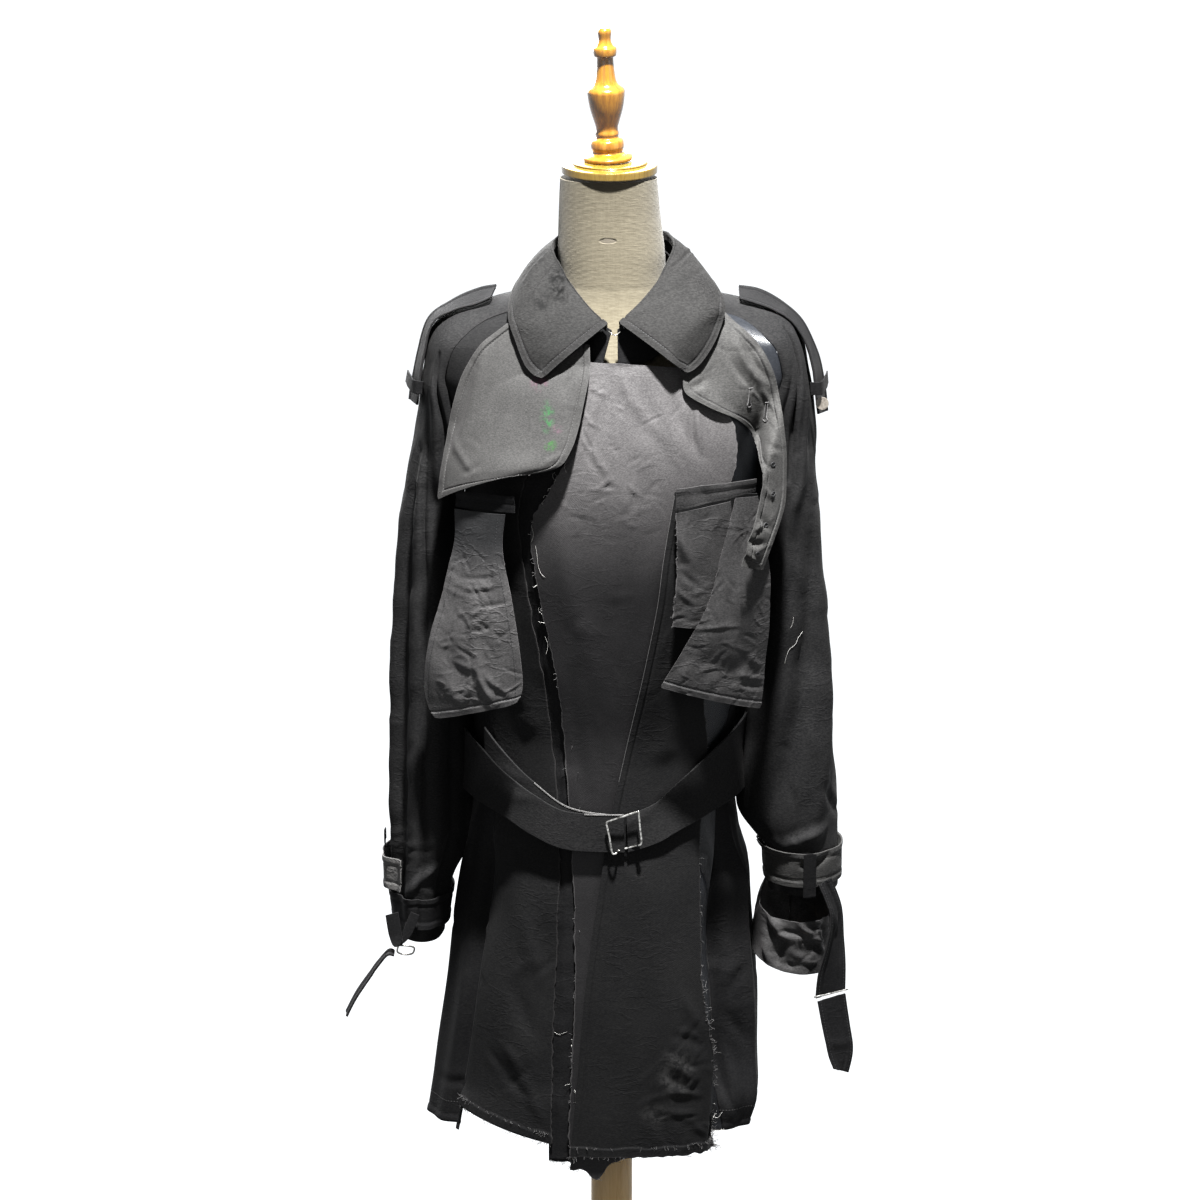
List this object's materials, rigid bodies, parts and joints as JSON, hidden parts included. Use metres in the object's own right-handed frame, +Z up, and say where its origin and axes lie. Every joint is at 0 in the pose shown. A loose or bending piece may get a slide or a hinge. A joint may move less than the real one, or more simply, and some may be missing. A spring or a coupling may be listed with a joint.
{
  "type": "trench coat on dress form",
  "caption": "Black trench coat with cut-away raw-edged fronts, storm flap, hanging pocket leaves, belt and cuff straps, worn by a limbless dress form on a pole stand.",
  "frame": {"origin": "underside of the round base, on the axis of the pole", "axes": "+Z up along the pole, the coat faces -Y, the wearer's left is +X"},
  "size_m": [0.561, 0.38, 1.6398],
  "materials": {
    "coat_cloth": "black wool twill, matt with a faint sheen",
    "lighter_cloth": "washed charcoal twill, reverse side, fine crumples",
    "satin_lining": "dark satin",
    "metal": "polished nickel",
    "button": "pale horn",
    "linen": "natural linen",
    "varnished_wood": "varnished",
    "pale_wood": "clear lacquer"
  },
  "bodies": {
    "root": {"back": "coat_cloth", "front_right": "coat_cloth", "facing_right": "coat_cloth", "sleeve_right": "coat_cloth", "sleeve_left": "coat_cloth", "cut_flap": "coat_cloth", "collar_fall": "coat_cloth", "collar_stand": "coat_cloth", "epaulette_right": "coat_cloth", "epaulette_left": "coat_cloth", "epaulette_loop_right": "coat_cloth", "epaulette_loop_left": "coat_cloth", "belt": "coat_cloth", "belt_tail": "coat_cloth", "cuff_strap_right": "coat_cloth", "cuff_strap_left": "coat_cloth", "cuff_strands_right": "coat_cloth", "cuff_tab_right": "coat_cloth", "cuff_drop_left": "coat_cloth", "cuff_tab_left": "coat_cloth", "cuff_loop_left": "coat_cloth", "cuff_loop_right": "coat_cloth", "inner_front": "lighter_cloth", "front_left": "lighter_cloth", "storm_flap": "lighter_cloth", "pocket_band_right": "lighter_cloth", "pocket_leaf_right": "lighter_cloth", "pocket_band_left": "lighter_cloth", "pocket_back_left": "lighter_cloth", "pocket_leaf_left": "lighter_cloth", "turned_cuff_right": "lighter_cloth", "cuff_end_left": "lighter_cloth", "lining_left": "satin_lining", "belt_buckle": "metal", "throat_hook": "metal", "cuff_ring_right": "metal", "cuff_buckle_left": "metal", "button_left": "button", "form": "linen", "neck_plate": "varnished_wood", "finial": "varnished_wood", "pole": "pale_wood", "base": "pale_wood"}
  },
  "joints": []
}
